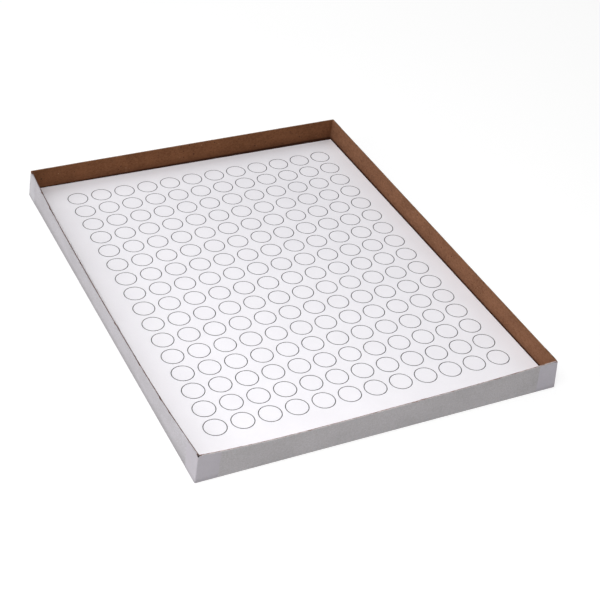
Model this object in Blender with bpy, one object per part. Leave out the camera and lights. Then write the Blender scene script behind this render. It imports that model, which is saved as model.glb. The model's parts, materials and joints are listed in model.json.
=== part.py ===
"""A shallow board tray holding a stack of label sheets.

The tray is one scored blank of white-faced brown board. Its four walls are folded up and held
at the corners by paper stays. It has been in use: the stack of sheets has turned a little and
pushed the right wall out of square, and the front and left walls bow out at the rim. Each
sheet is a release backing under a face of label stock.

Metres, +Z up. +X runs along the front wall and +Y from the front wall to the back wall. The
origin is on the table, under the middle of the tray's outline.
"""
import math

import bmesh
import bpy
from mathutils import Vector

TRAY_HEIGHT = 0.01905  # three quarters of an inch

# The outside of the white facing at each corner, on the table and at the rim.
FOOT = {
    ("front", "left"): Vector((-0.11110, -0.14520)),
    ("front", "right"): Vector((0.11120, -0.14570)),
    ("back", "right"): Vector((0.11360, 0.14590)),
    ("back", "left"): Vector((-0.11135, 0.14590)),
}
RIM = {
    ("front", "left"): Vector((-0.10990, -0.14530)),
    ("front", "right"): Vector((0.11010, -0.14480)),
    ("back", "right"): Vector((0.11460, 0.14650)),
    ("back", "left"): Vector((-0.10980, 0.14550)),
}

# How far each wall's rim bows out between its corners, and how far that leans to its start.
BOW = {"front": 0.00275, "back": 0.0002, "left": 0.00325, "right": 0.0}
BOW_SKEW = {"front": 0.4, "back": 0.0, "left": 0.12, "right": 0.0}
BOW_FLATNESS = 0.6
WALL_STEPS = 10  # between its stays

# Layers of a wall: facing paper outside, a line of glue, brown board inside.
FACING = 0.00012
GLUE = 0.00003
BOARD = 0.00095
WALL = FACING + GLUE + BOARD

SCORE = 0.00030  # open score between the base and a wall
WALL_FOOT = 0.00050  # the walls end this far above the table

# Corner stays: strips of paper folded round the outside of each corner.
STAY_LEG = 0.0127
STAY_PAPER = 0.00012
STAY_TOP = TRAY_HEIGHT - 0.0003
STAY_BOTTOM = 0.00060
STAY_BEND = 0.0008  # outer radius of the fold
STAY_BEND_STEPS = 5
STAY_LEG_STEPS = 3

# Label sheets, letter size.
SHEET_COUNT = 16
SHEET_WIDTH = 0.2159
SHEET_LENGTH = 0.2794
BACKING = 0.00007
ADHESIVE = 0.00002
FACE = 0.00010
AIR = 0.000065  # between one sheet and the next
SHEET_PITCH = BACKING + ADHESIVE + FACE + AIR
STACK_PLACE = Vector((0.0024, 0.0035))  # middle of the top sheet
STACK_SKEW = math.radians(-0.52)  # how far the top sheet is turned in the tray
STACK_UNEVEN = 0.0004  # how far the sheets below it are out of line
STACK_TURN = math.radians(0.05)  # and how much less they are turned
STACK_STEP = 1.9  # radians from one sheet's disorder to the next

COLOURS = {
    "board": ((0.21, 0.10, 0.06), 0.90),
    "facing": ((0.80, 0.79, 0.80), 0.65),
    "stay": ((0.83, 0.82, 0.84), 0.60),
    "backing": ((0.78, 0.76, 0.70), 0.55),
    "face": ((0.90, 0.89, 0.91), 0.50),
}


def clear_scene():
    for old in list(bpy.data.objects):
        bpy.data.objects.remove(old, do_unlink=True)


def material(name):
    """The Principled material called name, made once."""
    made = bpy.data.materials.get(name)
    if made is None:
        colour, roughness = COLOURS[name]
        made = bpy.data.materials.new(name)
        made.use_nodes = True
        shader = made.node_tree.nodes["Principled BSDF"]
        shader.inputs["Base Color"].default_value = (*colour, 1.0)
        shader.inputs["Roughness"].default_value = roughness
        shader.inputs["Metallic"].default_value = 0.0
    return made


def climbs(start, end):
    """Whether the line between two points rises as it runs along +X or +Y."""
    step = end - start
    return step.z * (step.x + step.y) > 0.0


def solid(name, finish, rings, place=(0.0, 0.0, 0.0), parent=None):
    """A closed body through rings of as many points, capped at both ends. Its four-sided faces
    are all split along the climbing diagonal, so that faces laid on each other stay parallel."""
    shape = bmesh.new()
    rows = [[shape.verts.new(point) for point in ring] for ring in rings]
    for low, high in zip(rows, rows[1:]):
        for i in range(len(low)):
            j = (i + 1) % len(low)
            if climbs(low[i].co, high[j].co):
                shape.faces.new((low[i], low[j], high[j]))
                shape.faces.new((low[i], high[j], high[i]))
            else:
                shape.faces.new((low[i], low[j], high[i]))
                shape.faces.new((low[j], high[j], high[i]))
    shape.faces.new(reversed(rows[0]))
    shape.faces.new(rows[-1])
    bmesh.ops.recalc_face_normals(shape, faces=shape.faces)
    mesh = bpy.data.meshes.new(name)
    shape.to_mesh(mesh)
    shape.free()
    mesh.materials.append(material(finish))
    made = bpy.data.objects.new(name, mesh)
    bpy.context.collection.objects.link(made)
    made.parent = parent
    made.location = place
    return made


def corner(place, z, inset=0.0):
    """The corner of the facing's outside at height z, moved into the tray by inset."""
    here = FOOT[place].lerp(RIM[place], z / TRAY_HEIGHT)
    return Vector((
        here.x - inset * math.copysign(1.0, here.x),
        here.y - inset * math.copysign(1.0, here.y),
    ))


def wall_corners(side):
    """The two corners that a wall runs between, front to back or left to right."""
    if side in ("front", "back"):
        return (side, "left"), (side, "right")
    return ("front", side), ("back", side)


def bow(side, t, z):
    """How far a wall stands out at t of its length, from 0 to 1, and height z."""
    u = 2.0 * t - 1.0
    swell = (1.0 - u * u) * (1.0 + BOW_FLATNESS * u * u) * (1.0 - BOW_SKEW[side] * u)
    return BOW[side] * swell * z / TRAY_HEIGHT


def wall_point(side, t, z, depth):
    """A point in a wall, depth in from the facing's outside. Walls end at the inside corners."""
    start, end = wall_corners(side)
    inner = corner(start, z, WALL).lerp(corner(end, z, WALL), t)
    outer = corner(start, z).lerp(corner(end, z), t)
    if side in ("front", "back"):
        return inner.x, outer.y + math.copysign(1.0, outer.y) * (bow(side, t, z) - depth), z
    return outer.x + math.copysign(1.0, outer.x) * (bow(side, t, z) - depth), inner.y, z


def leg_stations(side):
    """Shares of a wall's length that one leg of a stay covers, from the end of the wall."""
    start, end = (FOOT[place] for place in wall_corners(side))
    share = (STAY_LEG - WALL) / ((end - start).length - 2 * WALL)
    return [share * k / STAY_LEG_STEPS for k in range(STAY_LEG_STEPS + 1)]


def base_panels():
    """The floor of the tray, which lies between the walls."""
    order = (("front", "left"), ("front", "right"), ("back", "right"), ("back", "left"))
    edge = [corner(place, 0.0, WALL + SCORE) for place in order]
    for name, finish, z0, z1 in (
        ("base_facing", "facing", 0.0, FACING),
        ("base_board", "board", FACING + GLUE, WALL),
    ):
        solid(name, finish, [[(p.x, p.y, z) for p in edge] for z in (z0, z1)])


def wall_panels(side):
    """A wall's facing and board. Both have stations wherever the stays on them have."""
    leg = leg_stations(side)
    middle = [leg[-1] + (1.0 - 2 * leg[-1]) * k / WALL_STEPS for k in range(1, WALL_STEPS)]
    stations = leg + middle + [1.0 - t for t in reversed(leg)]
    for layer, outer, inner in (("facing", 0.0, FACING), ("board", FACING + GLUE, WALL)):
        section = (
            (WALL_FOOT, outer), (WALL_FOOT, inner), (TRAY_HEIGHT, inner), (TRAY_HEIGHT, outer),
        )
        rings = [[wall_point(side, t, z, depth) for z, depth in section] for t in stations]
        solid(f"{side}_{layer}", layer, rings)


def stay_line(end, side, z, depth):
    """A stay's section at height z along one face of the paper: leg, round fold, leg."""
    side_leg = leg_stations(side)
    end_leg = leg_stations(end)
    if end == "back":
        side_leg = [1.0 - t for t in side_leg]
    if side == "right":
        end_leg = [1.0 - t for t in end_leg]
    centre = corner((end, side), z, STAY_BEND - GLUE - STAY_PAPER)
    radius = STAY_BEND - GLUE - STAY_PAPER - depth
    line = [wall_point(side, t, z, depth) for t in reversed(side_leg)]
    for step in range(STAY_BEND_STEPS + 1):
        turn = math.radians(90.0 * step / STAY_BEND_STEPS)
        line.append((
            centre.x + math.copysign(radius * math.cos(turn), centre.x),
            centre.y + math.copysign(radius * math.sin(turn), centre.y),
            z,
        ))
    return line + [wall_point(end, t, z, depth) for t in end_leg]


def corner_stays():
    for end, side in FOOT:
        rings = []
        for z in (STAY_BOTTOM, STAY_TOP):
            outside = stay_line(end, side, z, -GLUE - STAY_PAPER)
            inside = stay_line(end, side, z, -GLUE)
            rings.append(outside + inside[::-1])
        stay = solid(f"corner_stay_{end}_{side}", "stay", rings)
        stay.data.shade_smooth()
        stay.data.set_sharp_from_angle(angle=math.radians(40))


def label_sheet(number):
    """One sheet, on an empty that lifts straight up. Sheet 1 is at the bottom."""
    disorder = 1.0 - math.cos(STACK_STEP * (SHEET_COUNT - number))
    slip = STACK_UNEVEN * disorder
    lift = bpy.data.objects.new(f"sheet_{number:02d}_lift", None)
    bpy.context.collection.objects.link(lift)
    lift.location = (
        STACK_PLACE.x - slip,
        STACK_PLACE.y - slip,
        WALL + AIR + (number - 1) * SHEET_PITCH,
    )
    lift.rotation_euler.z = STACK_SKEW + STACK_TURN * disorder
    x, y = SHEET_WIDTH / 2, SHEET_LENGTH / 2
    outline = ((-x, -y), (x, -y), (x, y), (-x, y))
    for layer, z0, thickness in (("backing", 0.0, BACKING), ("face", BACKING + ADHESIVE, FACE)):
        rings = [[(px, py, z) for px, py in outline] for z in (0.0, thickness)]
        solid(f"sheet_{number:02d}_{layer}", layer, rings, (0.0, 0.0, z0), lift)


def centre_tray():
    """Moves everything so that the middle of the outline is over the origin."""
    bpy.context.view_layer.update()
    points = [
        made.matrix_world @ vertex.co
        for made in bpy.data.objects if made.type == "MESH"
        for vertex in made.data.vertices
    ]
    middle = Vector((
        (min(p.x for p in points) + max(p.x for p in points)) / 2,
        (min(p.y for p in points) + max(p.y for p in points)) / 2,
        0.0,
    ))
    for made in bpy.data.objects:
        if made.parent is None:
            made.location -= middle


clear_scene()
base_panels()
for wall_side in BOW:
    wall_panels(wall_side)
corner_stays()
for sheet_number in range(1, SHEET_COUNT + 1):
    label_sheet(sheet_number)
centre_tray()
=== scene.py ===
"""Looks for the tray of round-dot label sheets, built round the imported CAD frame.

Metres, in the frame's own axes: +X along the front wall, +Y to the back wall, +Z up.
"""

import json
import math
import random

import bmesh
import bpy
from mathutils import Matrix, Vector, noise

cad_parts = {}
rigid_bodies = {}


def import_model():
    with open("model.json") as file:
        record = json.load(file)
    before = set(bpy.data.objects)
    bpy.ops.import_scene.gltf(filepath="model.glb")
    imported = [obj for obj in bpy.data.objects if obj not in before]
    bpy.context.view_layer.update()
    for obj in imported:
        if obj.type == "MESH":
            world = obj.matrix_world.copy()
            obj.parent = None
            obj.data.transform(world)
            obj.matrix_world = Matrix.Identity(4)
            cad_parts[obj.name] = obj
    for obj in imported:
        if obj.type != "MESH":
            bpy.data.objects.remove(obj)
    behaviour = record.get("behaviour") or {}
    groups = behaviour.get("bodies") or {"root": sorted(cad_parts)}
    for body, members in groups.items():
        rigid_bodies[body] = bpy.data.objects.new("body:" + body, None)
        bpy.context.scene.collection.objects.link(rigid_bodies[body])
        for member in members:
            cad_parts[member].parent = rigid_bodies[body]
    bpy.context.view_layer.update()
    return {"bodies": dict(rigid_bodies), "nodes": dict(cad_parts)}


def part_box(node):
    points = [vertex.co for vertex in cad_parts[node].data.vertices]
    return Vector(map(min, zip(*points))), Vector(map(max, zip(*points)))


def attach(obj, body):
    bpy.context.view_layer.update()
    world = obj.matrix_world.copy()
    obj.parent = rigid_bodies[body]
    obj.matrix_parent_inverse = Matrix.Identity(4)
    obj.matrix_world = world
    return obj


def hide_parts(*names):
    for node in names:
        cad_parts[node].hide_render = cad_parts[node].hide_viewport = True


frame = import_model()
NODES = frame["nodes"]
SHEETS = sorted(int(name[6:]) for name in frame["bodies"] if name.startswith("sheet_"))
SIDES = ("front", "back", "left", "right")
MM = 0.001

# Camera, in metres and degrees, with the lens in millimetres
CAMERA_PLACE = Vector((-0.31576, -0.60182, 0.48923))
CAMERA_AZIMUTH = -27.853
CAMERA_ELEVATION = 36.388
CAMERA_ROLL = 4.975
CAMERA_LENS = 81.127
CAMERA_SHIFT = 0.04
CAMERA_NEAR = 0.05

# Light: each lamp's place, side and power in watts. All are square and aim at the tray.
LAMPS = {
    "left": ((-1.1, 0.0, 0.4), 0.6, 4.6),
    "left_high": ((-0.5, 0.1, 0.6), 0.4, 1.3),
    "back": ((0.0, 0.9, 0.9), 0.8, 5.2),
    "right": ((0.9, 0.0, 0.9), 0.8, 2.1),
    "near": ((-0.15, -0.25, 0.45), 0.3, 1.65),
}
WHITE = (1.0, 1.0, 1.0, 1.0)
WORLD_GLOW = 0.03
FLOOR_TONE = (0.30, 0.30, 0.30, 1.0)
FLOOR_GLOW = 0.78
FLOOR_ROUGHNESS = 0.9
FLOOR_REACH = 40.0
FLOOR_GAP = 0.02 * MM  # between the floor and the tray

# Die-cut labels on each sheet
DOT_COLUMNS = 12
DOT_ROWS = 16
DOT_PITCH = (16.164 * MM, 15.875 * MM)  # across the sheet and along it
DOT_RADIUS = 6.5 * MM
DOT_CUT = 0.50 * MM  # width of the cut round a dot
CUT_DEPTH = 0.02 * MM  # of the painted-shade ring below the face
CUT_CLEAR = 0.004 * MM  # between the painted-shade ring and the paper beside it
GRID_OFFSET = (0.7 * MM, 0.46 * MM)  # of the grid from the sheet's middle
TOP_SEGMENTS = 48  # of a dot's outline on the top sheet
LOWER_SEGMENTS = 24  # and on the sheets under it
WELD = 0.001 * MM

# Walls. Stations are the sections a wall is drawn through, from end to end.
RIM_STEP = 0.8 * MM  # between the stations
LEVEL_SLACK = 0.01 * MM  # a CAD point this close to a level is on it
STATION_SLACK = 0.05 * MM  # CAD points this close along a wall share a station
RIM_WAVES = ((0.06 * MM, 35 * MM, "slow"), (0.035 * MM, 2.5 * MM, "fine"))  # rise, length, name
SEEDS = {  # added to a wall's own seed, so that no two of its waves are alike
    "slow": 0, "fine": 10, "patch": 20, "teeth": 30, "face": 40, "edge": 50, "wave": 60,
    "lip": 70, "chip": 80,
}
SECTION_STOPS = (3 * MM, 9 * MM)  # from the foot on the board, from the rim on the paper
FACE_WAVE = (0.02 * MM, 18 * MM)  # depth and length of the waves in the board's inner face
FRAY_PATCH = (9 * MM, 0.22, 2.4)  # a torn patch's length, the wave it starts at, and its growth
FRAY_TEETH = 1.3 * MM
RIM_ROUND = 0.12 * MM
RIM_ZONE = (1.2 * MM, 1.5 * MM)  # height of the rim over the flat faces, inside and outside
RIM_TURN = (  # inner edge of a clean rim, in roundings: from the inner face, and from the top
    (0.0, 2.5), (0.0, 1.0), (0.3, 0.3), (1.3, 0.0),
)
RIM_OUTER = ((0.4, 0.2), (0.0, 1.0))  # its outer edge: from the outer face, and from the top
TEAR = (  # how far a full tear moves the inner edge's points: off the inner face, and up
    (0.16 * MM, 0.0), (0.22 * MM, 0.05 * MM), (0.18 * MM, 0.16 * MM), (0.0, 0.10 * MM),
)
RIM_CROWN = ((0.45, 0.02 * MM), (0.75, -0.01 * MM))  # share of the board's thickness, and rise
BARE_DROP = 0.10 * MM  # of the board's rim below the tray's height, where no paper covers it
LAPPED_DROP = 0.26 * MM  # and where the facing laps over it
FACING_DROP = {"front": 0.13 * MM, "back": 0.60 * MM, "left": 0.22 * MM, "right": 0.60 * MM}
RIM_LIP = {"front": 0.42 * MM, "back": 0.0, "left": 0.57 * MM, "right": 0.0}
LIP_LEAST = 0.12 * MM
LIP_WAVE = (0.25, 6 * MM)  # unevenness of the lip, as a share of it, and its length
LIP_CHIPS = (1.2 * MM, 5 * MM, 0.3)  # their depth and length, and the wave they start at
PAPER_EDGE = (0.04 * MM, 1.1 * MM)  # rise and length of the paper edge's unevenness
PAPER_WAVE = (0.012 * MM, 24 * MM)  # and of the waves in its face
PAPER_TURN = 0.2 * MM  # below the paper's edge, where its section starts to turn
PAPER_ROUND = 0.02 * MM  # rounding of its cut edge
LIP_ROUND = 0.06 * MM  # and of its bend over the rim
LIP_LIFT = 0.01 * MM  # of the lip's tip above the bend
BOARD_REACH = 0.85 * MM  # of the end walls' board past the inside corners
FACING_REACH = 0.5 * MM  # of every wall's facing past them
FACING_LIFT = 0.02 * MM  # of the paper's lowest face above the table
FOLD_RADIUS = 0.60 * MM  # of the facing, where it turns under the wall
FOLD_STEPS = 6
FOLD_END = -0.15 * MM  # where the folded paper ends, past the wall's inner face
FIBRES = 60  # loose on each rim
FIBRE_SPREAD = 0.97  # how far toward the wall's ends they stand
FIBRE_ROOTS = (0.05, 0.3, 0.5)  # shares of the board's thickness that they stand at
FIBRE_LENGTHS = (0.35, 0.7)  # in millimetres
FIBRE_RADII = (0.02, 0.035)  # in millimetres
FIBRE_DEPTH = 0.5 * MM  # of their roots below the tray's height
FIBRE_LEAN = 0.6  # sideways at most, for each rise in the next pair
FIBRE_RISE = (0.3, 0.7)
FIBRE_CURL = 0.4
FIBRE_TAPER = 0.6  # share of the radius lost toward the tip
FIBRE_STEPS = 4
FIBRE_SIDES = 5
FIBRE_CLEAR = 0.05 * MM  # between the highest fibre and the tray's height

# Corner stays
STAY_LEG = 12.7 * MM
STAY_PAPER = 0.12 * MM
STAY_BEND = 0.8 * MM
STAY_LEVELS = 12
STAY_LEG_STEPS = 6
STAY_BEND_STEPS = 8
STAY_RISE = 18 * MM  # about the length of a stay's cut edge, for its unevenness
WALL_INSET = 1.1 * MM  # of a wall's end from the tray's outer corner
GLUE = 0.028 * MM
SLANTED_STAY = ("front", "right")
SLANT = 0.5 * MM  # of that stay's cut edge, top to bottom
SLIGHT_SLANT = 0.1 * MM  # and of the others'
STAY_RAGGED = (0.10 * MM, 4 * MM)  # depth and length of a cut edge's unevenness
STAY_DIP = (0.12 * MM, 1.7 * MM)  # depth and reach of the dip on top of a sound corner
WORN = {  # depth and reach of the dip in the paper on top of the corners that are rubbed away
    ("front", "left"): (1.8 * MM, 1.0 * MM),
    ("front", "right"): (0.8 * MM, 1.8 * MM),
    ("back", "left"): (1.9 * MM, 3.4 * MM),
}
DIP_START = 0.7  # how far up a stay its dip begins, as a share of its height

# Colours, as linear red, green and blue
BOARD_TONES = ((0.135, 0.053, 0.022), (0.190, 0.079, 0.035), (0.25, 0.115, 0.056))
BOARD_DENT = (0.07, 0.026, 0.012)
BOARD_SPECKS = (  # cells to a metre, size in a cell, share of cells, strength and colour
    (200.0, 0.115, 0.5, 1.0, (0.035, 0.013, 0.008)),
    (420.0, 0.16, 0.25, 1.0, (0.075, 0.03, 0.016)),
    (380.0, 0.14, 0.16, 0.6, (0.46, 0.30, 0.20)),
)
# Painted shade on the board: darker just above the stack, darkest in the gap beside and under it
PAINTED_LOW_SHADE = (0.070, 0.024, 0.012)
PAINTED_GAP_SHADE = (0.050, 0.016, 0.008)
# The dark cut tone stands partly for the board's brown cut and partly for painted shade on the left
# rim
DARK_CUT_AND_SHADE = ((0.060, 0.026, 0.018), (0.13, 0.075, 0.058))
BROWN_CUT = ((0.15, 0.066, 0.032), (0.26, 0.125, 0.066))
PALE_CUT = ((0.20, 0.125, 0.105), (0.50, 0.42, 0.41))
FACING_TONES = ((0.468, 0.450, 0.472), (0.520, 0.500, 0.526))
FACING_SCUFF = (0.300, 0.276, 0.268)
STAY_TONES = ((0.475, 0.46, 0.49), (0.515, 0.50, 0.53))
STAY_SCUFF = (0.39, 0.37, 0.385)
# Painted shade: near black, for the shade at the paper's foot and in the notch at the worn corner
# tip
PAINTED_SHADE = (0.045, 0.035, 0.034)

# Noise masks: features to a metre (or along each axis), detail, roughness, and the values of
# the noise where the mask starts and is whole
BLOTCHES = (70.0, 3.0, 0.55, 0.35, 0.65)
GRAIN = ((620.0, 620.0, 900.0), 3.0, 0.7, 0.36, 0.62)
DENTS = ((880.0, 880.0, 1300.0), 2.0, 0.6, 0.58, 0.70)
PLIES = ((260.0, 260.0, 60.0), 4.0, 0.7, 0.42, 0.60)
CLOUDS = (45.0, 3.0, 0.55, 0.35, 0.65)
FORMATION = (1150.0, 3.0, 0.65, 0.35, 0.65)
RUBS = (420.0, 5.0, 0.75, 0.66, 0.78)
CUT_GRAIN = (700.0, 3.0, 0.55, 0.35, 0.65)

# Noise for bumps: features to a metre, detail and roughness, then the bump's depth
BOARD_BUMP = (((1500.0, 1500.0, 2400.0), 4.0, 0.65), 0.06 * MM)
PAPER_BUMP = ((1600.0, 4.0, 0.6), 0.015 * MM)
CUT_BUMP = ((900.0, 2.0, 0.55), 0.005 * MM)

BUMP_RANGE = (0.3, 0.7)  # the bump noise's values that stand for the lowest and highest roughness
SPECK_CORE = 0.6  # share of a speck's size that is wholly dark or pale
CUT_FACING = (0.45, 0.8)  # how far up a face points: none of the cut's colour, and all of it
LOW_SHADE_SHARE = 0.35  # of the gap shade's strength, as painted shade on the board just above the stack

# Places on the board and paper, read from the frame
STACK_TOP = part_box(f"sheet_{SHEETS[-1]:02d}_face")[1].z
CORNER_LOW, CORNER_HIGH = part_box("corner_stay_front_left")
WORN_TIP = (CORNER_LOW.x + 0.2 * MM, CORNER_LOW.y + 0.2 * MM, CORNER_HIGH.z - 0.8 * MM)
BOARD_TIP_SHADE = (2.4 * MM, 3.4 * MM)  # painted shade round the worn tip: wholly dark within, and none beyond
# painted shade round the worn tip on the paper: wholly dark within, and none beyond
PAPER_TIP_SHADE = (0.8 * MM, 1.6 * MM)
STACK_SHADE = 6.0 * MM  # height above the stack over which painted shade darkens the board
GAP_SHADE_EDGE = (0.15 * MM, 0.75 * MM)  # above the stack, where the painted shade of the gap fades out


# ---------------------------------------------------------------- materials

class Nodes:
    """A material's node tree, with short calls for the nodes used here."""

    def __init__(self, name):
        self.material = bpy.data.materials.new(name)
        self.material.use_nodes = True
        self.tree = self.material.node_tree
        self.shader = self.tree.nodes["Principled BSDF"]
        self.place = self.tree.nodes.new("ShaderNodeTexCoord")

    def link(self, source, target):
        self.tree.links.new(source, target)

    def stretched(self, scale):
        """Object coordinates times scale, which is a number or one number per axis."""
        mapping = self.tree.nodes.new("ShaderNodeMapping")
        self.link(self.place.outputs["Object"], mapping.inputs["Vector"])
        mapping.inputs["Scale"].default_value = (
            scale if isinstance(scale, tuple) else (scale, scale, scale)
        )
        return mapping.outputs["Vector"]

    def noise(self, scale, detail, rough):
        made = self.tree.nodes.new("ShaderNodeTexNoise")
        self.link(self.stretched(scale), made.inputs["Vector"])
        made.inputs["Scale"].default_value = 1.0
        made.inputs["Detail"].default_value = detail
        made.inputs["Roughness"].default_value = rough
        return made.outputs["Fac"]

    def specks(self, scale, size, share):
        """1 on specks of that size, as a share of a cell, in that share of the cells."""
        made = self.tree.nodes.new("ShaderNodeTexVoronoi")
        self.link(self.stretched(scale), made.inputs["Vector"])
        made.inputs["Scale"].default_value = 1.0
        near = self.ramp(made.outputs["Distance"], size * SPECK_CORE, size, 1.0, 0.0)
        split = self.tree.nodes.new("ShaderNodeSeparateColor")
        self.link(made.outputs["Color"], split.inputs["Color"])
        chosen = self.math("LESS_THAN", split.outputs["Red"], share)
        return self.math("MULTIPLY", near, chosen)

    def ramp(self, value, low, high, start=0.0, end=1.0):
        made = self.tree.nodes.new("ShaderNodeMapRange")
        self.link(value, made.inputs["Value"])
        made.inputs["From Min"].default_value = low
        made.inputs["From Max"].default_value = high
        made.inputs["To Min"].default_value = start
        made.inputs["To Max"].default_value = end
        return made.outputs["Result"]

    def mask(self, scale, detail, rough, low, high):
        """Noise as a mask: 0 where it is under low, up to 1 where it is over high."""
        return self.ramp(self.noise(scale, detail, rough), low, high)

    def math(self, operation, a, b):
        made = self.tree.nodes.new("ShaderNodeMath")
        made.operation = operation
        for socket, value in zip(made.inputs, (a, b)):
            if isinstance(value, (int, float)):
                socket.default_value = value
            else:
                self.link(value, socket)
        return made.outputs["Value"]

    def mix(self, factor, a, b):
        """Colours a and b, or one of them a socket, mixed by factor."""
        made = self.tree.nodes.new("ShaderNodeMix")
        made.data_type = "RGBA"
        self.link(factor, made.inputs["Factor"])
        for socket, value in ((made.inputs["A"], a), (made.inputs["B"], b)):
            if isinstance(value, tuple):
                socket.default_value = (*value, 1.0)
            else:
                self.link(value, socket)
        return made.outputs["Result"]

    def over(self, colour, mask, strength, tone):
        """A tone laid over a colour where the mask is 1, at that strength."""
        return self.mix(self.math("MULTIPLY", mask, strength), colour, tone)

    def near(self, point, low, high):
        """1 closer to a point of the frame than low, down to 0 at high."""
        made = self.tree.nodes.new("ShaderNodeVectorMath")
        made.operation = "DISTANCE"
        self.link(self.place.outputs["Object"], made.inputs[0])
        made.inputs[1].default_value = point
        return self.ramp(made.outputs["Value"], low, high, 1.0, 0.0)

    def facing(self, axis):
        """How far the surface's own normal points along axis, from -1 to 1."""
        split = self.tree.nodes.new("ShaderNodeSeparateXYZ")
        self.link(self.place.outputs["Normal"], split.inputs["Vector"])
        return split.outputs[axis]

    def height(self):
        """Metres above the table."""
        split = self.tree.nodes.new("ShaderNodeSeparateXYZ")
        self.link(self.place.outputs["Object"], split.inputs["Vector"])
        return split.outputs["Z"]

    def finish(self, colour, roughness, bump, specular=0.3):
        """Sets the shader: a colour socket, roughness (low, high), and a bump's noise and depth."""
        self.link(colour, self.shader.inputs["Base Color"])
        noise, depth = bump
        height = self.noise(*noise)
        self.link(self.ramp(height, *BUMP_RANGE, *roughness), self.shader.inputs["Roughness"])
        self.shader.inputs["Specular IOR Level"].default_value = specular
        made = self.tree.nodes.new("ShaderNodeBump")
        made.inputs["Distance"].default_value = depth
        self.link(height, made.inputs["Height"])
        self.link(made.outputs["Normal"], self.shader.inputs["Normal"])
        return self.material


def tinted(tint, tone):
    return tuple(a * b for a, b in zip(tint, tone))


# tint is painted light: each side's copy of the board is tinted for how light falls on that wall
def board_material(side, tint, cut_dark, cut_pale, gap_shade=0.85):
    """Brown recycled board: mottled, with fibres, dark and pale specks and a cut rim.

    It has painted shade toward the stack: darker downward above it, and darkest beside and under
    it, for the shade in the gap between stack and wall.
    """
    n = Nodes(f"brown_board_{side}")
    shade = [tinted(tint, tone) for tone in BOARD_TONES]
    colour = n.over(shade[0], n.mask(*BLOTCHES), 0.75, shade[1])
    colour = n.over(colour, n.mask(*GRAIN), 0.55, shade[2])
    colour = n.over(colour, n.mask(*DENTS), 0.55, BOARD_DENT)
    for cells, size, share, strength, speck in BOARD_SPECKS:
        colour = n.over(colour, n.specks(cells, size, share), strength, speck)
    # Painted shade: darker toward the stack top, and darkest below it, for the shade in the gap
    # between stack and wall
    low = n.ramp(n.height(), STACK_TOP, STACK_TOP + STACK_SHADE, LOW_SHADE_SHARE * gap_shade, 0.0)
    colour = n.mix(low, colour, PAINTED_LOW_SHADE)
    start, end = (STACK_TOP + rise for rise in GAP_SHADE_EDGE)
    colour = n.mix(n.ramp(n.height(), start, end, gap_shade, 0.0), colour, PAINTED_GAP_SHADE)
    cut = n.mix(n.mask(*PLIES), cut_dark, cut_pale)
    colour = n.mix(n.ramp(n.facing("Z"), *CUT_FACING), colour, cut)
    # Painted shade: a dark spot round the worn corner tip
    colour = n.mix(n.near(WORN_TIP, *BOARD_TIP_SHADE), colour, PAINTED_SHADE)
    return n.finish(colour, (0.82, 0.95), BOARD_BUMP, 0.2)


def paper_material(name, low, high, scuff, roughness=(0.55, 0.7), mottle=0.0, foot=None):
    """Smooth paper: two close tints in clouds, mottling, a few scuffs, and painted shade at the
    foot.

    foot is how far up the painted shade goes, in metres, and how strong it is at the bottom.
    """
    n = Nodes(name)
    colour = n.mix(n.mask(*CLOUDS), low, high)
    if mottle:
        colour = n.over(colour, n.mask(*FORMATION), mottle, scuff)
    colour = n.over(colour, n.mask(*RUBS), 0.5, scuff)
    # Painted shade: darker toward the foot
    if foot:
        reach, strength = foot
        colour = n.mix(n.ramp(n.height(), 0.25 * reach, reach, strength, 0.0), colour, PAINTED_SHADE)
        # Painted shade: a dark spot round the worn corner tip
        colour = n.mix(n.near(WORN_TIP, *PAPER_TIP_SHADE), colour, PAINTED_SHADE)
    return n.finish(colour, roughness, PAPER_BUMP)


def facing_paper(side, blue=1.0, foot=(1.0 * MM, 0.5)):
    """The white facing of one side, a little more or less blue: a painted cast of the light on that
    side.
    """
    low, high = (tinted((1.0, 1.0, blue), tone) for tone in FACING_TONES)
    return paper_material(f"white_facing_{side}", low, high, FACING_SCUFF, mottle=0.46, foot=foot)


def stay_paper(end, side, tint=(1.0, 1.0, 1.0)):
    """White paper tape, a little less mottled than the facing, with weaker painted shade at its
    foot; its tint is painted light.
    """
    low, high = (tinted(tint, tone) for tone in STAY_TONES)
    return paper_material(f"stay_paper_{end}_{side}", low, high, STAY_SCUFF, mottle=0.25,
                          foot=(4.0 * MM, 0.18))


def shade_ring_material(name, dark, pale):
    """Painted shade for the slit of a cut, a little uneven."""
    n = Nodes(name)
    return n.finish(n.mix(n.mask(*CUT_GRAIN), dark, pale), (0.7, 0.9), CUT_BUMP, 0.2)


# Each side's tint is painted light: the same board lighter and bluer on the right wall, warmer on
# the back, for how light and bounce fall on each
BOARDS = {
    "base": board_material("base", (1.0, 1.0, 1.0), *DARK_CUT_AND_SHADE, gap_shade=0.3),
    "front": board_material("front", (1.0, 1.0, 1.0), *PALE_CUT, gap_shade=0.3),
    "back": board_material("back", (1.03, 0.96, 0.89), *BROWN_CUT),
    "left": board_material("left", (1.0, 1.0, 1.0), *DARK_CUT_AND_SHADE),
    "right": board_material("right", (1.12, 1.17, 1.30), *BROWN_CUT),
}
# Each side's blue is a painted cast of the light on that side; each foot is painted shade, reaching
# highest on the left
FACINGS = {
    "base": facing_paper("base"),
    "front": facing_paper("front", 0.985),
    "back": facing_paper("back"),
    "left": facing_paper("left", 1.025, foot=(7.0 * MM, 0.27)),
    "right": facing_paper("right"),
}
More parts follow.
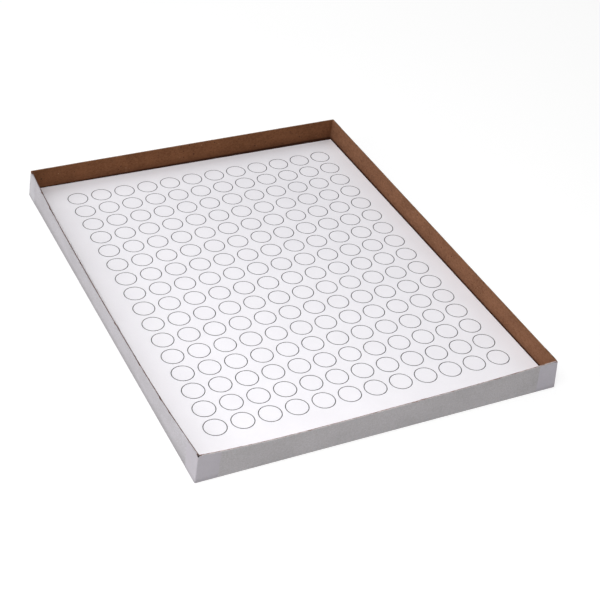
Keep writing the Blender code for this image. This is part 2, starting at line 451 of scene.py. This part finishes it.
# The front stays' tints are painted light: the front-left copy darker, the front-right lighter
STAYS = {
    ("front", "left"): stay_paper("front", "left", (0.965, 0.94, 0.965)),
    ("front", "right"): stay_paper("front", "right", (1.05, 1.03, 1.065)),
    ("back", "left"): stay_paper("back", "left"),
    ("back", "right"): stay_paper("back", "right"),
}
LABEL = paper_material("label_stock", (0.865, 0.85, 0.89), (0.89, 0.875, 0.915),
                       (0.80, 0.785, 0.82), mottle=0.22)
BACKING = paper_material("release_paper", (0.74, 0.72, 0.66), (0.79, 0.77, 0.70),
                         (0.70, 0.68, 0.62), (0.35, 0.5))
# Painted shade: the dark ring in each dot's cut stands for the shade in the slit
CUT_SHADE = shade_ring_material("cut_slit_shade", (0.020, 0.019, 0.022), (0.045, 0.043, 0.048))


# ---------------------------------------------------------------- mesh helpers

def finished(shape, name, material, smooth=40):
    """A mesh from a bmesh, with its faces turned outward.

    Edges sharper than smooth, in degrees, are marked as sharp.
    """
    bmesh.ops.recalc_face_normals(shape, faces=shape.faces)
    mesh = bpy.data.meshes.new(name)
    shape.to_mesh(mesh)
    shape.free()
    mesh.materials.append(material)
    mesh.shade_smooth()
    mesh.set_sharp_from_angle(angle=math.radians(smooth))
    return mesh


def piece(name, shape, material, replaced=None, smooth=40):
    """Links a finished bmesh as a piece of the tray that stands for a CAD node."""
    made = bpy.data.objects.new(name, finished(shape, name, material, smooth))
    bpy.context.scene.collection.objects.link(made)
    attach(made, "tray")
    if replaced:
        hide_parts(replaced)


def band(shape, lower, upper):
    """Faces between two rings of as many verts."""
    for i in range(len(lower)):
        j = (i + 1) % len(lower)
        shape.faces.new((lower[i], lower[j], upper[j], upper[i]))


def sweep(shape, rings):
    """A closed tube through rings of as many points, with a face over each end."""
    rows = [[shape.verts.new(point) for point in ring] for ring in rings]
    for before, after in zip(rows, rows[1:]):
        band(shape, before, after)
    shape.faces.new(list(reversed(rows[0])))
    shape.faces.new(rows[-1])


def wander(place, size, seed):
    """Smooth noise from -1 to 1 at a place along a line, with features of that size."""
    return noise.noise(Vector((place / size, 7.3 * seed, 1.7)))


# ---------------------------------------------------------------- walls

class Wall:
    """A wall's place in the frame, read from its CAD nodes.

    along runs from -1 to 1 from end to end, through is metres outward from the inner face, and
    up is metres above the table.
    """

    def __init__(self, side):
        self.side = side
        self.lengthwise = side in ("left", "right")
        self.sign = -1.0 if side in ("left", "front") else 1.0
        board = [v.co for v in NODES[f"{side}_board"].data.vertices]
        facing = [v.co for v in NODES[f"{side}_facing"].data.vertices]
        self.foot = min(p.z for p in board)
        self.rim = max(p.z for p in board)
        self.low = self.measure(board, self.foot)
        self.high = self.measure(board, self.rim)
        outer = self.measure(facing, self.foot)
        self.board = self.low["outer"][0] - self.low["inner"][0]
        self.paper_in = outer["inner"][0] - self.low["inner"][0]
        self.paper_out = outer["outer"][0] - self.low["inner"][0]
        self.length = self.low["run"][-1] - self.low["run"][0]
        self.seed = SIDES.index(side) + 1

    def measure(self, points, height):
        """The wall's stations at one height: their places along it, and its two faces there."""
        level = sorted(
            (p.y if self.lengthwise else p.x, self.sign * (p.x if self.lengthwise else p.y))
            for p in points if abs(p.z - height) < LEVEL_SLACK
        )
        stations = []
        for run, across in level:
            if stations and run - stations[-1][0] < STATION_SLACK:
                stations[-1][1].append(across)
            else:
                stations.append((run, [across]))
        return {
            "run": [run for run, _ in stations],
            "inner": [min(faces) for _, faces in stations],
            "outer": [max(faces) for _, faces in stations],
        }

    def curve(self, level, along):
        """Place along the wall and its inner face there, on a smooth curve by the stations."""
        run, inner = level["run"], level["inner"]
        here = run[0] + (run[-1] - run[0]) * (along + 1.0) / 2
        k = max(0, min(len(run) - 2, sum(1 for station in run if station <= here) - 1))

        def slope(i):
            before, after = max(0, i - 1), min(len(run) - 1, i + 1)
            return (inner[after] - inner[before]) / (run[after] - run[before])

        step = run[k + 1] - run[k]
        t = (here - run[k]) / step
        straight = inner[k] + (inner[k + 1] - inner[k]) * t
        lean = (inner[k + 1] - inner[k]) / step
        start, end = (slope(k) - lean) * step, (slope(k + 1) - lean) * step
        return here, straight + t * (1 - t) * ((1 - t) * start - t * end)

    def at(self, along, through, up):
        low_run, low_face = self.curve(self.low, along)
        high_run, high_face = self.curve(self.high, along)
        t = (up - self.foot) / (self.rim - self.foot)
        run = low_run + (high_run - low_run) * t
        across = self.sign * (low_face + (high_face - low_face) * t + through)
        return Vector((across, run, up)) if self.lengthwise else Vector((run, across, up))

    def stations(self, reach=0.0):
        """Places along the wall, to reach past its ends."""
        end = 1.0 + 2 * reach / self.length
        count = round(self.length / RIM_STEP)
        return [end * (2.0 * i / count - 1.0) for i in range(count + 1)]

    def place(self, along):
        return along * self.length / 2

    def worn(self, along):
        """How far the paper is rubbed down at a place near a worn corner."""
        if self.lengthwise:
            near_corner = ("front" if along < 0 else "back", self.side)
        else:
            near_corner = (self.side, "left" if along < 0 else "right")
        if near_corner not in WORN:
            return 0.0
        depth, reach = WORN[near_corner]
        away = (1.0 - abs(along)) * self.length / 2
        return depth * min(1.0, max(0.0, 1.0 - away / reach))

    def wave(self, along, length, name):
        """One of the wall's own waves, from -1 to 1, with features of that length."""
        return wander(self.place(along), length, self.seed + SEEDS[name])

    def rim_height(self, along):
        """The cut edge's rise and fall: a slow wave and a fine one."""
        slow, fine = (rise * self.wave(along, length, name) for rise, length, name in RIM_WAVES)
        return slow + fine

    def fray(self, along):
        """0 on a clean rim, up to 1 where the inner ply is torn."""
        length, start, growth = FRAY_PATCH
        patch = max(0.0, self.wave(along, length, "patch") - start) * growth
        teeth = 0.6 + 0.4 * self.wave(along, FRAY_TEETH, "teeth")
        return min(1.0, patch) * teeth


def wall_board(wall):
    """The board panel, with a softened rim whose inner ply frays in places."""
    shape = bmesh.new()
    rings = []
    depth, length = FACE_WAVE
    for along in wall.stations(0.0 if wall.lengthwise else BOARD_REACH):
        lift = wall.rim_height(along)
        torn = wall.fray(along)
        top = wall.rim - (LAPPED_DROP if RIM_LIP[wall.side] else BARE_DROP) + lift
        r = RIM_ROUND
        face = wall.wave(along, length, "face") * depth
        profile = [(0.0, wall.foot)]
        profile += [(face + depth, wall.foot + stop) for stop in SECTION_STOPS]
        profile.append((face * 0.5 + depth, top - RIM_ZONE[0]))
        profile += [
            (into * r - off * torn, top - down * r + up * torn)
            for (into, down), (off, up) in zip(RIM_TURN, TEAR)
        ]
        profile += [(wall.board * share, top + rise) for share, rise in RIM_CROWN]
        profile += [(wall.board - into * r, top - down * r) for into, down in RIM_OUTER]
        profile += [(wall.board, top - RIM_ZONE[1]), (wall.board, wall.foot)]
        rings.append([wall.at(along, through, min(up, wall.rim)) for through, up in profile])
    sweep(shape, rings)
    piece(f"{wall.side}_wall_board", shape, BOARDS[wall.side],
          f"{wall.side}_board", 50)


def wall_facing(wall):
    """The white paper outside a wall, turned under its foot to meet the base."""
    shape = bmesh.new()
    rings = []
    thick = wall.paper_out - wall.paper_in
    for along in wall.stations(FACING_REACH):
        edge = wall.rim - FACING_DROP[wall.side] + wall.rim_height(along)
        rise, length = PAPER_EDGE
        edge += rise * wall.wave(along, length, "edge") - wall.worn(along)
        depth, length = PAPER_WAVE
        wave = depth * (1.0 + wall.wave(along, length, "wave"))
        outer = [(wall.paper_out - PAPER_ROUND, edge), (wall.paper_out, edge - PAPER_TURN)]
        inner = [(wall.paper_in, edge - PAPER_ROUND), (wall.paper_in, edge - PAPER_TURN)]
        if RIM_LIP[wall.side]:
            share, length = LIP_WAVE
            lip = RIM_LIP[wall.side] * (1.0 - share * wall.wave(along, length, "lip"))
            depth, length, start = LIP_CHIPS
            lip -= depth * max(0.0, wall.wave(along, length, "chip") - start)
            tip = wall.paper_out - max(LIP_LEAST, lip)
            outer[0] = (wall.paper_out - LIP_ROUND, edge)
            outer.insert(0, (tip, edge + LIP_LIFT))
            inner[0] = (wall.paper_in - PAPER_ROUND, edge - thick)
            inner.insert(0, (tip, edge + LIP_LIFT - thick))
        for stop in SECTION_STOPS:
            outer.append((wall.paper_out + wave, wall.rim - stop))
            inner.append((wall.paper_in, wall.rim - stop))
        centre_in = wall.paper_out - FOLD_RADIUS
        centre_up = FOLD_RADIUS + FACING_LIFT
        for step in range(FOLD_STEPS + 1):
            turn = math.radians(90.0 * step / FOLD_STEPS)
            for points, radius in ((outer, FOLD_RADIUS), (inner, FOLD_RADIUS - thick)):
                points.append((centre_in + radius * math.cos(turn),
                               centre_up - radius * math.sin(turn)))
        outer.append((FOLD_END, FACING_LIFT))
        inner.append((FOLD_END, FACING_LIFT + thick))
        profile = outer + inner[::-1]
        rings.append([wall.at(along, through, min(up, wall.rim)) for through, up in profile])
    sweep(shape, rings)
    piece(f"{wall.side}_wall_facing", shape, FACINGS[wall.side],
          f"{wall.side}_facing", 50)


def corner_stay(end, side, walls):
    """Paper tape round a corner, laid on the two walls, with soft cut edges and a dip on top."""
    node = f"corner_stay_{end}_{side}"
    low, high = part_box(node)
    sign = Vector((-1.0 if side == "left" else 1.0, -1.0 if end == "front" else 1.0, 0.0))
    seed = 3.1 * sign.x + 1.7 * sign.y  # differs at each corner
    slant = SLANT if (end, side) == SLANTED_STAY else SLIGHT_SLANT
    dip, dip_reach = WORN.get((end, side), STAY_DIP)
    depth, length = STAY_RAGGED
    legs = ((walls[side], sign.y), (walls[end], sign.x))

    def line(up, inset, cuts):
        """The tape's section at one height, inset from its outside, and its corner there."""
        through = [wall.paper_out + GLUE + STAY_PAPER - inset for wall, _ in legs]
        tip_x, tip_y = (wall.at(way, out, up) for (wall, way), out in zip(legs, through))
        tip = Vector((tip_x.x, tip_y.y, up))
        radius = STAY_BEND - inset
        centre = tip - sign * radius
        runs = []
        for (wall, way), out, cut in zip(legs, through, cuts):
            reach = (STAY_LEG - WALL_INSET + cut) / (wall.length / 2)
            runs.append([
                wall.at(way * (1.0 - reach * step / STAY_LEG_STEPS), out, up)
                for step in range(STAY_LEG_STEPS + 1)
            ])
        arc = []
        for step in range(STAY_BEND_STEPS + 1):
            turn = math.radians(90.0 * step / STAY_BEND_STEPS)
            way_out = Vector((sign.x * math.cos(turn), sign.y * math.sin(turn), 0))
            arc.append(centre + way_out * radius)
        return runs[0][::-1] + arc + runs[1], tip

    shape = bmesh.new()
    rings = []
    for level in range(STAY_LEVELS + 1):
        t = level / STAY_LEVELS
        up = low.z + (high.z - low.z) * t
        cuts = (
            depth * wander(t * STAY_RISE, length, seed + 5),
            depth * wander(t * STAY_RISE, length, seed) - slant * (t - 0.5),
        )
        outer, tip = line(up, 0.0, cuts)
        inner, _ = line(up, STAY_PAPER, cuts)
        ring = outer + inner[::-1]
        for point in ring:
            near = max(0.0, 1.0 - (point - tip).length / dip_reach)
            point.z -= dip * near * max(0.0, t - DIP_START) / (1.0 - DIP_START)
        rings.append(ring)
    sweep(shape, rings)
    piece(f"stay_{end}_{side}", shape, STAYS[end, side], node, 35)


def rim_fibres(wall):
    """Loose fibres standing off the raw rim, as one piece for each wall."""
    shape = bmesh.new()
    dice = random.Random(wall.seed)
    for _ in range(FIBRES):
        along = dice.uniform(-FIBRE_SPREAD, FIBRE_SPREAD)
        through = dice.choice(FIBRE_ROOTS) * wall.board
        start = wall.at(along, through, wall.rim - FIBRE_DEPTH)
        inward = wall.at(along, -1.0, wall.rim) - wall.at(along, 0.0, wall.rim)
        lean = inward * dice.uniform(0.0, 1.0)
        drift = [dice.uniform(-FIBRE_LEAN, FIBRE_LEAN) for _ in range(2)]
        lean += Vector((*drift, dice.uniform(*FIBRE_RISE)))
        length = dice.uniform(*FIBRE_LENGTHS) * MM
        radius = dice.uniform(*FIBRE_RADII) * MM
        curl = Vector((dice.uniform(-1, 1), dice.uniform(-1, 1), -0.5)) * FIBRE_CURL
        side = lean.cross(Vector((0.3, 0.5, 0.8))).normalized()
        other = lean.cross(side).normalized()
        rings = []
        for step in range(FIBRE_STEPS + 1):
            t = step / FIBRE_STEPS
            centre = start + (lean * t + curl * t * t).normalized() * length * t
            centre.z = min(centre.z, wall.rim - FIBRE_CLEAR)
            width = radius * (1.0 - FIBRE_TAPER * t)
            rings.append([
                centre + (side * math.cos(a) + other * math.sin(a)) * width
                for a in (math.tau * k / FIBRE_SIDES for k in range(FIBRE_SIDES))
            ])
        sweep(shape, rings)
    piece(f"{wall.side}_rim_fibres", shape, BOARDS[wall.side])


# ---------------------------------------------------------------- label sheets

def sheet_place(number):
    """Matrix, width, length and thickness of a sheet's face, read from its CAD node."""
    points = [v.co for v in NODES[f"sheet_{number:02d}_face"].data.vertices]
    low = min(p.z for p in points)
    high = max(p.z for p in points)
    middle = sum(points, Vector()) / len(points)

    def corner(right, far):
        return next(p for p in points if (p.x > middle.x, p.y > middle.y) == (right, far))

    across = corner(True, True) - corner(False, True)
    away = corner(True, True) - corner(True, False)
    across.z = away.z = 0.0
    turn = Matrix.Rotation(math.atan2(across.y, across.x), 4, "Z")
    place = Matrix.Translation((middle.x, middle.y, low)) @ turn
    return place, across.length, away.length, high - low


def on_sheet(u, v):
    """A place in the grid of dots, as a place on the sheet."""
    return GRID_OFFSET[0] + u, GRID_OFFSET[1] + v


def steps_of(count, pitch):
    """The middles of a row of cells about zero."""
    return [(k - (count - 1) / 2) * pitch for k in range(count)]


def dot_centres():
    """The middles of the dots in the grid, row by row from the front."""
    for v in steps_of(DOT_ROWS, DOT_PITCH[1]):
        for u in steps_of(DOT_COLUMNS, DOT_PITCH[0]):
            yield u, v


def turns(segments):
    """Directions round a circle, as pairs of cosine and sine."""
    angles = [math.tau * k / segments for k in range(segments)]
    return [(math.cos(a), math.sin(a)) for a in angles]


def circle(shape, centre, radius, segments, z):
    """Verts of a circle on the sheet, at height z."""
    return [
        shape.verts.new((*on_sheet(centre[0] + radius * c, centre[1] + radius * s), z))
        for c, s in turns(segments)
    ]


def cell(shape, centre, segments, z):
    """Verts round a dot's cell, one for each vert of its circle."""
    made = []
    for c, s in turns(segments):
        wide = max(abs(c), abs(s))
        u = centre[0] + c / wide * DOT_PITCH[0] / 2
        v = centre[1] + s / wide * DOT_PITCH[1] / 2
        made.append(shape.verts.new((*on_sheet(u, v), z)))
    return made


def grid_edge(segments):
    """Places round the whole grid's edge, anticlockwise, where its cells have verts."""
    per_side = segments // 4
    steps = [math.tan(math.radians(-45.0 + 90.0 * k / per_side)) / 2 for k in range(per_side)]
    wide, long = DOT_PITCH
    reach = (DOT_COLUMNS * wide / 2, DOT_ROWS * long / 2)
    across = [u + step * wide for u in steps_of(DOT_COLUMNS, wide) for step in steps]
    away = [v + step * long for v in steps_of(DOT_ROWS, long) for step in steps]
    places = [(u, -reach[1]) for u in across] + [(reach[0], v) for v in away]
    return places + [(-u, reach[1]) for u in across] + [(-reach[0], -v) for v in away], reach


def waste(segments, width, length, thick):
    """The sheet's face round the dots: a plate with a round hole for each dot."""
    shape = bmesh.new()
    hole = DOT_RADIUS + DOT_CUT / 2
    for centre in dot_centres():
        rims = [circle(shape, centre, hole, segments, z) for z in (0.0, thick)]
        for rim, z in zip(rims, (0.0, thick)):
            band(shape, rim, cell(shape, centre, segments, z))
        band(shape, *rims)
    edge, reach = grid_edge(segments)
    stretch = (width / 2 / reach[0], length / 2 / reach[1])
    outlines = []
    for z in (0.0, thick):
        inner = [shape.verts.new((*on_sheet(u, v), z)) for u, v in edge]
        outer = [shape.verts.new((u * stretch[0], v * stretch[1], z)) for u, v in edge]
        band(shape, inner, outer)
        outlines.append(outer)
    band(shape, *outlines)
    bmesh.ops.remove_doubles(shape, verts=shape.verts, dist=WELD)
    return shape


def dots(segments, thick):
    """The round labels in the waste's holes."""
    shape = bmesh.new()
    for centre in dot_centres():
        rims = [circle(shape, centre, DOT_RADIUS - DOT_CUT / 2, segments, z) for z in (0.0, thick)]
        shape.faces.new(list(reversed(rims[0])))
        shape.faces.new(rims[1])
        band(shape, *rims)
    return shape


def cuts(segments, thick):
    """Painted shade in the cut round each dot: a dark ring that nearly fills the gap."""
    shape = bmesh.new()
    reach = DOT_CUT / 2 - CUT_CLEAR
    low, high = CUT_CLEAR, thick - CUT_DEPTH
    for centre in dot_centres():
        rings = [
            circle(shape, centre, DOT_RADIUS + side * reach, segments, z)
            for side, z in ((-1.0, low), (1.0, low), (1.0, high), (-1.0, high))
        ]
        for one, other in zip(rings, rings[1:] + rings[:1]):
            band(shape, one, other)
    return shape


def label_sheet(number, meshes):
    """A sheet's face in its place: waste, dots and the painted shade of the cuts, from meshes that
    sheets alike share.
    """
    place, width, length, thick = sheet_place(number)
    segments = TOP_SEGMENTS if number == SHEETS[-1] else LOWER_SEGMENTS
    body = f"sheet_{number:02d}"
    if segments not in meshes:
        meshes[segments] = {
            "waste": finished(waste(segments, width, length, thick), "waste", LABEL),
            "dots": finished(dots(segments, thick), "dots", LABEL),
            # the cuts mesh is painted shade: dark rings for the shade in each dot's slit
            "cuts": finished(cuts(segments, thick), "cuts", CUT_SHADE),
        }
    for part, mesh in meshes[segments].items():
        made = bpy.data.objects.new(f"{body}_{part}", mesh)
        made.matrix_world = place
        bpy.context.scene.collection.objects.link(made)
        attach(made, body)
        if part == "waste":
            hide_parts(f"{body}_face")


# ---------------------------------------------------------------- CAD nodes that stay

def dress(node, material):
    """Gives a CAD node that is shown as it is one of the materials here."""
    mesh = NODES[node].data
    mesh.materials.clear()
    mesh.materials.append(material)


# ---------------------------------------------------------------- stage

def floor():
    """A wide pale floor that glows a little, so that it stays pale under soft light."""
    mesh = bpy.data.meshes.new("floor")
    corners = ((-1, -1), (1, -1), (1, 1), (-1, 1))
    places = [(x * FLOOR_REACH, y * FLOOR_REACH, -FLOOR_GAP) for x, y in corners]
    mesh.from_pydata(places, [], [(0, 1, 2, 3)])
    made = bpy.data.objects.new("floor", mesh)
    bpy.context.scene.collection.objects.link(made)
    material = bpy.data.materials.new("floor")
    material.use_nodes = True
    tree = material.node_tree
    shader = tree.nodes["Principled BSDF"]
    shader.inputs["Base Color"].default_value = FLOOR_TONE
    shader.inputs["Roughness"].default_value = FLOOR_ROUGHNESS
    shader.inputs["Specular IOR Level"].default_value = 0.0
    shader.inputs["Emission Color"].default_value = WHITE
    shader.inputs["Emission Strength"].default_value = FLOOR_GLOW
    mesh.materials.append(material)


def lights():
    """A dim white world and the lamps, which the camera doesn't see."""
    world = bpy.data.worlds.new("studio")
    world.use_nodes = True
    background = world.node_tree.nodes["Background"]
    background.inputs["Color"].default_value = WHITE
    background.inputs["Strength"].default_value = WORLD_GLOW
    bpy.context.scene.world = world
    for name, (place, side, power) in LAMPS.items():
        lamp = bpy.data.lights.new(name, "AREA")
        lamp.size = side
        lamp.energy = power
        made = bpy.data.objects.new(name, lamp)
        made.location = place
        made.rotation_euler = (-Vector(place)).to_track_quat("-Z", "Y").to_euler()
        made.visible_camera = False
        bpy.context.scene.collection.objects.link(made)


def camera():
    """A long lens, looking down from beyond the front left corner, with a slight roll."""
    azimuth, elevation = math.radians(CAMERA_AZIMUTH), math.radians(CAMERA_ELEVATION)
    level = math.cos(elevation)
    forward = Vector((-math.sin(azimuth) * level, math.cos(azimuth) * level, -math.sin(elevation)))
    right = forward.cross(Vector((0, 0, 1))).normalized()
    up = right.cross(forward)
    roll = math.radians(CAMERA_ROLL)
    across = right * math.cos(roll) + up * math.sin(roll)
    upward = up * math.cos(roll) - right * math.sin(roll)
    turn = Matrix((across, upward, -forward)).transposed().to_4x4()
    data = bpy.data.cameras.new("camera")
    data.lens = CAMERA_LENS
    data.shift_x = CAMERA_SHIFT
    data.clip_start = CAMERA_NEAR
    made = bpy.data.objects.new("camera", data)
    made.matrix_world = Matrix.Translation(CAMERA_PLACE) @ turn
    bpy.context.scene.collection.objects.link(made)
    bpy.context.scene.camera = made
    bpy.context.scene.view_settings.view_transform = "Standard"


camera()
lights()
floor()

dress("base_board", BOARDS["base"])
dress("base_facing", FACINGS["base"])
walls = {side: Wall(side) for side in SIDES}
for wall in walls.values():
    wall_board(wall)
    wall_facing(wall)
    rim_fibres(wall)
for end in ("front", "back"):
    for side in ("left", "right"):
        corner_stay(end, side, walls)

shared = {}
for number in SHEETS:
    dress(f"sheet_{number:02d}_backing", BACKING)
    label_sheet(number, shared)
